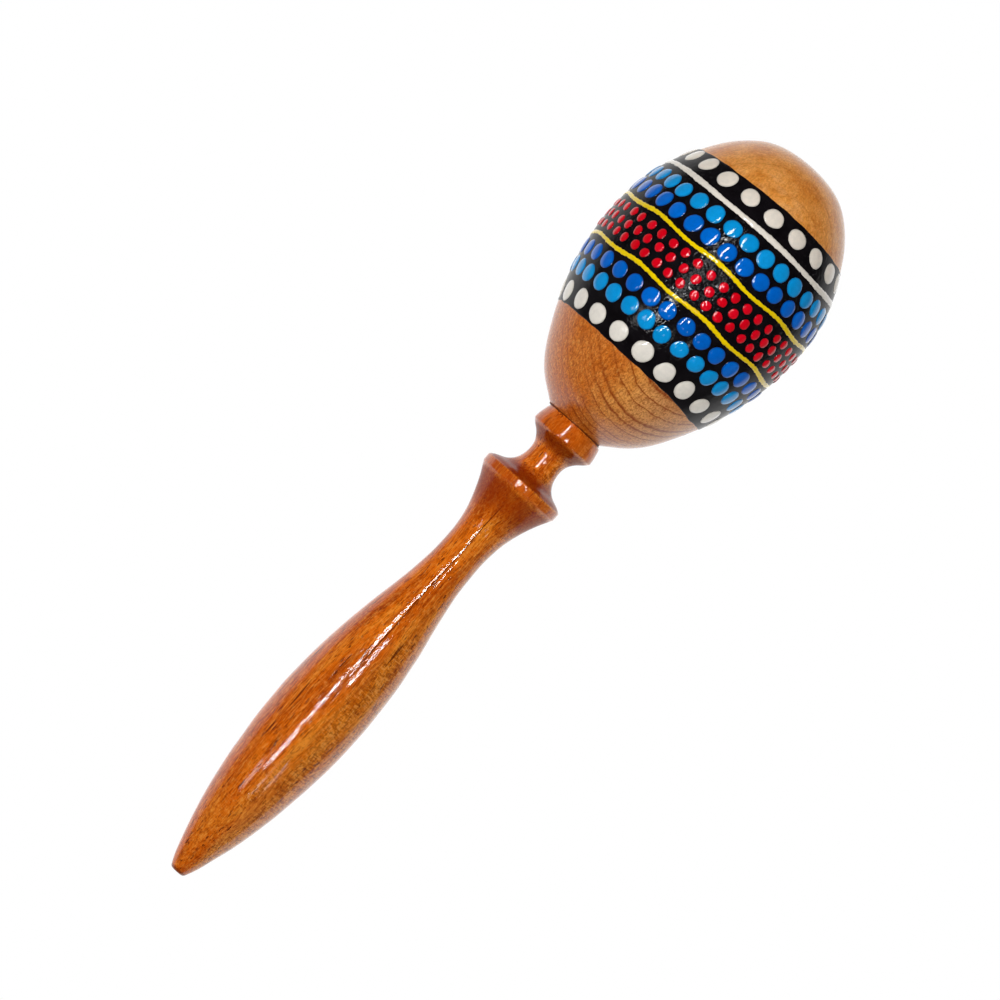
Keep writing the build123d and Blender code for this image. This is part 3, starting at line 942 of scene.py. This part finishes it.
def head_material(name, grad, zref, gap, bend, soft, dark, mid, light, seed, lower=True):
    """Turned head wood: growth rings cut by the round surface, fine pores.
    grad is the direction in which the rings follow each other."""
    m = Nodes(name)
    lc = m.attr("lc")
    x, y, z = m.xyz(lc)
    warp = m.noise(m.scaled(lc, (0.05, 0.05, 0.05), (seed, 0, 0)), 1.0, 2.0, 0.5, out="Color")
    wx, wy, wz = m.xyz(warp)
    g = m.math("ADD", m.math("MULTIPLY", x, grad[0]), m.math("MULTIPLY", y, grad[1]))
    g = m.math("ADD", g, m.math("MULTIPLY", m.math("SUBTRACT", z, zref), grad[2]))
    hh = m.math("SUBTRACT", m.math("MULTIPLY", y, grad[0]), m.math("MULTIPLY", x, grad[1]))
    # the rings curve gently round a far pith
    g = m.math("ADD", g, m.math("MULTIPLY", m.math("POWER", hh, 2.0), bend))
    g = m.math("ADD", g, m.math("MULTIPLY", m.math("SUBTRACT", wx, 0.5), 3.2))
    fine = m.noise(m.scaled(lc, (0.45, 0.45, 0.30), (0, seed, 0)), 1.0, 2.0, 0.5)
    g = m.math("ADD", g, m.math("MULTIPLY", m.math("SUBTRACT", fine, 0.5), 0.7))
    uneven = m.noise(m.join(m.math("MULTIPLY", g, 0.30), 0.0, 0.0), 1.0, 2.0, 0.5)
    turn = m.math("ADD", m.math("DIVIDE", g, gap), m.math("MULTIPLY", uneven, 1.5))
    ph = m.math("FRACT", turn)
    late = m.ramp(ph, [(0.0, 0.22), (0.12, 0.0), (0.60, 0.08), (0.80, 0.32), (0.88, 1.0), (0.94, 0.95), (0.98, 0.3), (1.0, 0.22)])
    # a fainter false ring halfway
    ph2 = m.math("FRACT", m.math("ADD", m.math("MULTIPLY", turn, 2.0), 0.35))
    late2 = m.ramp(ph2, [(0.0, 0.0), (0.60, 0.0), (0.82, 0.55), (0.90, 0.5), (0.97, 0.0), (1.0, 0.0)])
    late = m.math("MAXIMUM", late, m.math("MULTIPLY", late2, 0.42))
    strength = m.smooth(m.math("ADD", y, m.math("MULTIPLY", m.math("SUBTRACT", wy, 0.5), 10.0)), -10.0, 2.0, 0.35, 0.9) if lower else 1.0
    tone = m.noise(m.scaled(lc, (0.10, 0.10, 0.06), (seed, seed, 0)), 1.0, 3.0, 0.6)
    base = m.ramp(tone, [(0.32, lin(mid)), (0.52, lin(light)), (0.72, lin(mid))])
    if lower:
        # darker, more saturated orange towards the neck, and the right side is paler
        base = m.mix(m.math("MULTIPLY", m.smooth(z, 163.0, 152.5), 0.62), base, lin((188, 90, 4)))
        base = m.mix(m.math("MULTIPLY", m.smooth(y, 3.0, 15.0), 0.42), base, lin((210, 160, 112)), "MIX")
        blot = m.math("ADD", y, m.math("MULTIPLY", m.math("SUBTRACT", tone, 0.5), 16.0))
        base = m.mix(m.math("MULTIPLY", m.smooth(blot, 2.5, -4.0), 0.62), base, lin((198, 94, 8)), "MIX")
    else:
        mott = m.noise(m.scaled(lc, (0.16, 0.08, 0.16), (2, 2, 2)), 1.0, 3.0, 0.6)
        base = m.mix(m.smooth(mott, 0.50, 0.62, 0.0, 0.55), base, lin((200, 108, 20)))
        base = m.mix(m.smooth(mott, 0.47, 0.35, 0.0, 0.5), base, lin((236, 172, 104)))
    base = m.mix(m.math("MULTIPLY", m.math("MULTIPLY", late, soft), strength), base, lin(dark))
    warped = m.join(m.math("ADD", x, m.math("MULTIPLY", wy, 3.0)), m.math("ADD", y, m.math("MULTIPLY", wz, 3.0)), z)
    fib = m.noise(m.scaled(warped, (1.5, 1.5, 0.22)), 1.0, 4.0, 0.62)
    base = m.mix(m.smooth(fib, 0.5, 0.70, 0.0, 0.34), base, lin(dark))
    base = m.mix(m.smooth(fib, 0.48, 0.3, 0.0, 0.30), base, lin([min(255, v * 1.25) for v in light]))
    # pores: dense short dark flecks that follow the flow
    p1 = m.noise(m.scaled(warped, (2.1, 2.1, 1.0), (7, 1, 3)), 1.0, 3.0, 0.6)
    p2 = m.noise(m.scaled(warped, (2.9, 2.9, 1.5), (1, 7, 5)), 1.0, 2.0, 0.55)
    pores = m.math("MAXIMUM", m.smooth(p1, 0.505, 0.585), m.math("MULTIPLY", m.smooth(p2, 0.53, 0.60), 0.7))
    base = m.mix(m.math("MULTIPLY", pores, 0.52 if lower else 0.32), base, lin([v * 0.92 for v in dark]))
    coat_h = m.noise(m.scaled(warped, (0.5, 0.5, 0.25), (4, 4, 4)), 1.0, 3.0, 0.6)
    coat_f = m.noise(m.scaled(warped, (2.2, 2.2, 1.0), (4, 9, 4)), 1.0, 2.0, 0.6)
    h = m.math("ADD", coat_h, m.math("MULTIPLY", coat_f, 0.35))
    h = m.math("SUBTRACT", h, m.math("MULTIPLY", pores, 0.15))
    nrm = m.bump(h, 0.06)
    m.set(Base_Color=base, Roughness=m.smooth(fib, 0.3, 0.7, 0.42, 0.58), Normal=nrm)
    m.bsdf.inputs["Specular IOR Level"].default_value = 0.0
    m.bsdf.inputs["Coat Weight"].default_value = 0.8
    m.bsdf.inputs["Coat Roughness"].default_value = 0.16
    m.bsdf.inputs["Coat IOR"].default_value = 1.5
    m.put(m.bsdf.inputs["Coat Normal"], nrm)
    return m.mat


def film_material():
    m = Nodes("black_paint_coat")
    lc = m.attr("lc")
    tone = m.noise(m.scaled(lc, (0.3, 0.3, 0.3)), 1.0, 3.0, 0.6)
    base = m.ramp(tone, [(0.3, lin((9, 7, 9))), (0.7, lin((19, 16, 19)))])
    x, y, z = m.xyz(lc)
    brush = m.noise(m.scaled(lc, (0.45, 0.45, 1.4)), 1.0, 4.0, 0.65)
    speck = m.noise(lc, 1.9, 3.0, 0.6)
    blob = m.smooth(m.noise(lc, 0.9, 2.0, 0.5), 0.42, 0.62)
    h = m.math("ADD", m.math("MULTIPLY", brush, 0.6), m.math("MULTIPLY", m.math("MULTIPLY", speck, blob), 0.9))
    # the paint lies rougher between the dots than on the bare patch
    crust = m.noise(lc, 0.95, 2.0, 0.5)
    h = m.math("ADD", h, m.math("MULTIPLY", m.math("MULTIPLY", crust, m.math("MULTIPLY", m.smooth(z, 188.0, 191.5, 0.0, 1.0), m.smooth(x, 14.0, 20.0))), 4.6))
    nrm = m.bump(h, 0.03)
    # the varnish stands only in small wet specks between the dots
    wet = m.smooth(m.noise(lc, 1.0, 2.0, 0.5), 0.60, 0.66, 0.10, 1.0)
    # away from the top the coat is even again
    topside = m.smooth(x, 15.0, 21.0)
    wet = m.math("ADD", m.math("MULTIPLY", wet, topside), m.math("MULTIPLY", m.math("SUBTRACT", 1.0, topside), 0.42))
    gloss = m.math("ADD", m.math("MULTIPLY", wet, m.smooth(z, 188.0, 191.0, 0.0, 1.0)), m.smooth(z, 188.0, 191.0, 0.48, 0.0))
    m.set(Base_Color=base, Roughness=m.smooth(speck, 0.3, 0.7, 0.30, 0.5), Normal=nrm)
    m.bsdf.inputs["Specular IOR Level"].default_value = 0.0
    m.put(m.bsdf.inputs["Coat Weight"], gloss)
    m.bsdf.inputs["Coat Roughness"].default_value = 0.03
    m.bsdf.inputs["Coat IOR"].default_value = 1.5
    m.put(m.bsdf.inputs["Coat Normal"], nrm)
    return m.mat


def paint_material(name, col, alt, rim, grain=0.05, rough=0.32):
    """Thick glossy paint: tone differs from drop to drop, thinner at the rim."""
    m = Nodes(name)
    lc = m.attr("lc")
    tone = m.attr("tone", "Fac")
    rho = m.attr("rho", "Fac")
    cloud = m.noise(lc, 0.8, 3.0, 0.6)
    t = m.math("ADD", m.math("MULTIPLY", tone, 0.5), 0.5, clamp=True)
    base = m.mix(t, lin(col), lin(alt))
    base = m.mix(m.smooth(cloud, 0.35, 0.68, 0.0, 0.28), base, lin([v * 0.86 for v in col]))
    base = m.mix(m.smooth(rho, 0.80, 1.0, 0.0, 0.8), base, lin(rim))
    fine = m.noise(lc, 3.5, 2.0, 0.6)
    base = m.mix(m.smooth(fine, 0.5, 0.72, 0.0, grain * 3), base, lin([v * 0.7 for v in col]))
    h = m.math("ADD", m.math("MULTIPLY", cloud, 0.5), m.math("MULTIPLY", fine, 0.16))
    nrm = m.bump(h, 0.07)
    m.set(Base_Color=base, Roughness=m.smooth(cloud, 0.3, 0.7, rough - 0.04, rough + 0.1), Normal=nrm)
    m.bsdf.inputs["Specular IOR Level"].default_value = 0.0
    m.bsdf.inputs["Coat Weight"].default_value = 1.0
    m.bsdf.inputs["Coat Roughness"].default_value = 0.03
    m.bsdf.inputs["Coat IOR"].default_value = 1.5
    m.put(m.bsdf.inputs["Coat Normal"], nrm)
    return m.mat


def glue_material():
    m = Nodes("dark_glue")
    lc = m.attr("lc")
    n = m.noise(lc, 1.2, 3.0, 0.6)
    m.set(Base_Color=m.ramp(n, [(0.3, lin((70, 27, 6))), (0.7, lin((116, 54, 16)))]),
          Roughness=m.smooth(n, 0.3, 0.7, 0.25, 0.45), Normal=m.bump(n, 0.05))
    m.bsdf.inputs["Specular IOR Level"].default_value = 0.0
    m.bsdf.inputs["Coat Weight"].default_value = 0.25
    m.bsdf.inputs["Coat Roughness"].default_value = 0.2
    return m.mat


def seed_material():
    m = Nodes("dry_seed")
    t = m.nt.nodes.new("ShaderNodeTexCoord")
    mm = m.scaled(t.outputs["Object"], (1000, 1000, 1000))
    n = m.noise(mm, 0.7, 4.0, 0.6)
    v = m.voronoi(mm, 2.2)
    base = m.ramp(n, [(0.3, lin((92, 58, 28))), (0.5, lin((150, 104, 58))), (0.7, lin((186, 146, 92)))])
    base = m.mix(m.smooth(v, 0.0, 0.35, 0.5, 0.0), base, lin((70, 40, 18)))
    m.set(Base_Color=base, Roughness=m.smooth(n, 0.3, 0.7, 0.45, 0.7), Normal=m.bump(m.math("ADD", n, v), 0.12))
    return m.mat


MAT = {
    "handle": handle_material(),
    "lower": head_material("head_wood_lower", (0.850, 0.425, 0.310), 180.0, 2.45, 0.004, 0.94, (128, 46, 6),
                           (208, 124, 42), (226, 154, 78), 3.0),
    "upper": head_material("head_wood_crown", (0.97, 0.10, 0.20), 200.0, 3.6, 0.006, 0.28, (160, 84, 22),
                           (216, 134, 50), (234, 158, 78), 8.0, lower=False),
    "film": film_material(),
    "white": paint_material("white_paint", (229, 225, 216), (230, 218, 203), (190, 184, 174), 0.02),
    "sky": paint_material("sky_blue_paint", (6, 142, 210), (14, 152, 222), (4, 98, 156)),
    "deep": paint_material("deep_blue_paint", (0, 93, 190), (1, 106, 208), (1, 58, 132)),
    "red": paint_material("red_paint", (208, 2, 22), (224, 6, 32), (150, 1, 12)),
    "yellow": paint_material("yellow_paint", (236, 202, 0), (244, 212, 4), (176, 140, 0), 0.03),
    "glue": glue_material(),
    "seed": seed_material(),
}
PIECES = [
    (handle, "handle", "handle_wood", "handle"),
    (head_lower, "lower", "head_wood", "head_lower"),
    (head_upper, "upper", "head_wood", "head_upper"),
    (black_band, "film", "black_paint", "painted_band"),
    (white_dots, "white", "white_paint", None),
    (white_lines, "white", "white_paint", None),
    (sky_dots, "sky", "sky_blue_paint", None),
    (deep_dots, "deep", "deep_blue_paint", None),
    (yellow_lines, "yellow", "yellow_paint", None),
    (red_dots, "red", "red_paint", None),
    (glue, "glue", "glue_line", None),
]
for obj, mat, slot, node in PIECES:
    obj.data.materials.clear()
    obj.data.materials.append(MAT[mat])
    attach(obj, "root")
    if node:
        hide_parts(node)
for name, node in frame["nodes"].items():
    if name.startswith("seed_"):
        if not node.data.materials:
            node.data.materials.append(MAT["seed"])
        for k in range(len(node.data.materials)):
            node.data.materials[k] = MAT["seed"]

# --------------------------------------------------------------------------
# Floor, light and camera
# --------------------------------------------------------------------------
half = 4.0
bpy.ops.mesh.primitive_grid_add(x_subdivisions=8, y_subdivisions=8, size=2 * half, location=(0, 0, CAD_BOX[0][2] - 0.0004))
floor = bpy.context.object
floor.name = "floor"
fm = bpy.data.materials.new("pale_floor")
fm.use_nodes = True
nt = fm.node_tree
nt.nodes.clear()
o_ = nt.nodes.new("ShaderNodeOutputMaterial")
em = nt.nodes.new("ShaderNodeEmission")
em.inputs["Color"].default_value = (1, 1, 1, 1)
nt.links.new(em.outputs[0], o_.inputs["Surface"])


def fmath(op, a, b=0.0):
    n = nt.nodes.new("ShaderNodeMath")
    n.operation = op
    for i, v in enumerate((a, b)):
        if isinstance(v, bpy.types.NodeSocket):
            nt.links.new(v, n.inputs[i])
        else:
            n.inputs[i].default_value = v
    return n.outputs[0]


# the floor glows: a painted pool of light, bright round the object and dimmer far away, lights the object; where it is
# looked at directly it is plain white
geo = nt.nodes.new("ShaderNodeNewGeometry")
sep = nt.nodes.new("ShaderNodeSeparateXYZ")
nt.links.new(geo.outputs["Position"], sep.inputs[0])
far_x = fmath("MAXIMUM", fmath("SUBTRACT", fmath("ABSOLUTE", sep.outputs[0]), 0.10), 0.0)
dist = fmath("SQRT", fmath("ADD", fmath("POWER", far_x, 2.0), fmath("POWER", sep.outputs[1], 2.0)))
fall = nt.nodes.new("ShaderNodeMapRange")
fall.interpolation_type = "SMOOTHSTEP"
nt.links.new(dist, fall.inputs["Value"])
for k, v in (("From Min", 0.03), ("From Max", 0.24), ("To Min", 1.45), ("To Max", 0.12)):
    fall.inputs[k].default_value = v
flp = nt.nodes.new("ShaderNodeLightPath")
seen_f = flp.outputs["Is Camera Ray"]
strength = fmath("ADD", fmath("MULTIPLY", fall.outputs[0], fmath("SUBTRACT", 1.0, seen_f)), seen_f)
nt.links.new(strength, em.inputs["Strength"])
floor.data.materials.append(fm)

CENTRE = P0 + 124.65 * A + 1.74 * Y          # what the camera looks at, mm


def basis(right, up, back):
    m = Matrix.Identity(4)
    for i, v in enumerate((right, up, back)):
        for k in range(3):
            m[k][i] = float(v[k])
    return m


def area(name, a_off, y_off, size_a, size_y, power, dist=1000.0, color=(1, 1, 1)):
    """A soft box over the object, a_off and y_off from straight above."""
    d = U + a_off * A + y_off * Y
    pos = CENTRE + dist * d
    back = (pos - CENTRE) / np.linalg.norm(pos - CENTRE)
    right = A - np.dot(A, back) * back
    right /= np.linalg.norm(right)
    up = np.cross(back, right)
    ld = bpy.data.lights.new(name, "AREA")
    ld.shape = "RECTANGLE"
    ld.size, ld.size_y = size_a, size_y
    ld.energy = power
    ld.color = color
    lo = bpy.data.objects.new(name, ld)
    m = basis(right, up, back)
    m.translation = Vector([float(x) for x in pos * 0.001])
    lo.matrix_world = m
    bpy.context.scene.collection.objects.link(lo)
    return lo


area("key_strip", 0.14, 0.20, 1.15, 0.045, 10.4)
area("second_strip", 0.12, -0.17, 0.22, 0.035, 1.6)
area("panel_a", -0.49, 0.50, 0.14, 0.20, 0.42)
area("panel_b", -0.46, -0.18, 0.10, 0.05, 0.11)
area("panel_c", -0.46, -0.62, 0.10, 0.07, 0.13)

world = bpy.data.worlds.new("soft_room")
bpy.context.scene.world = world
world.use_nodes = True
wn = world.node_tree
wn.nodes.clear()
wo = wn.nodes.new("ShaderNodeOutputWorld")
tc = wn.nodes.new("ShaderNodeTexCoord")
sx = wn.nodes.new("ShaderNodeSeparateXYZ")
wn.links.new(tc.outputs["Generated"], sx.inputs[0])
mr = wn.nodes.new("ShaderNodeMapRange")
mr.interpolation_type = "SMOOTHSTEP"
wn.links.new(sx.outputs["Z"], mr.inputs["Value"])
mr.inputs["From Min"].default_value = -0.05
mr.inputs["From Max"].default_value = 0.5
mr.inputs["To Min"].default_value = 0.15
mr.inputs["To Max"].default_value = 0.015
room = wn.nodes.new("ShaderNodeBackground")
wn.links.new(mr.outputs[0], room.inputs["Strength"])
room.inputs["Color"].default_value = (1, 1, 1, 1)
seen = wn.nodes.new("ShaderNodeBackground")
seen.inputs["Color"].default_value = (1, 1, 1, 1)
seen.inputs["Strength"].default_value = 1.0
lp = wn.nodes.new("ShaderNodeLightPath")
mx = wn.nodes.new("ShaderNodeMixShader")
wn.links.new(lp.outputs["Is Camera Ray"], mx.inputs[0])
wn.links.new(room.outputs[0], mx.inputs[1])
wn.links.new(seen.outputs[0], mx.inputs[2])
wn.links.new(mx.outputs[0], wo.inputs["Surface"])

cam_data = bpy.data.cameras.new("camera")
cam_data.sensor_width = 36.0
cam_data.lens = 147.73
cam_data.clip_start = 0.01
cam_data.clip_end = 50.0
cam = bpy.data.objects.new("camera", cam_data)
bpy.context.scene.collection.objects.link(cam)
RIGHT = 0.667125 * A - 0.744946 * Y
UPV = 0.744946 * A + 0.667125 * Y
cm = basis(RIGHT, UPV, U)
cm.translation = Vector([float(v) for v in (CENTRE + 1040.0 * U) * 0.001])
cam.matrix_world = cm
bpy.context.scene.camera = cam

bpy.context.scene.view_settings.view_transform = "Standard"
bpy.context.scene.view_settings.look = "None"
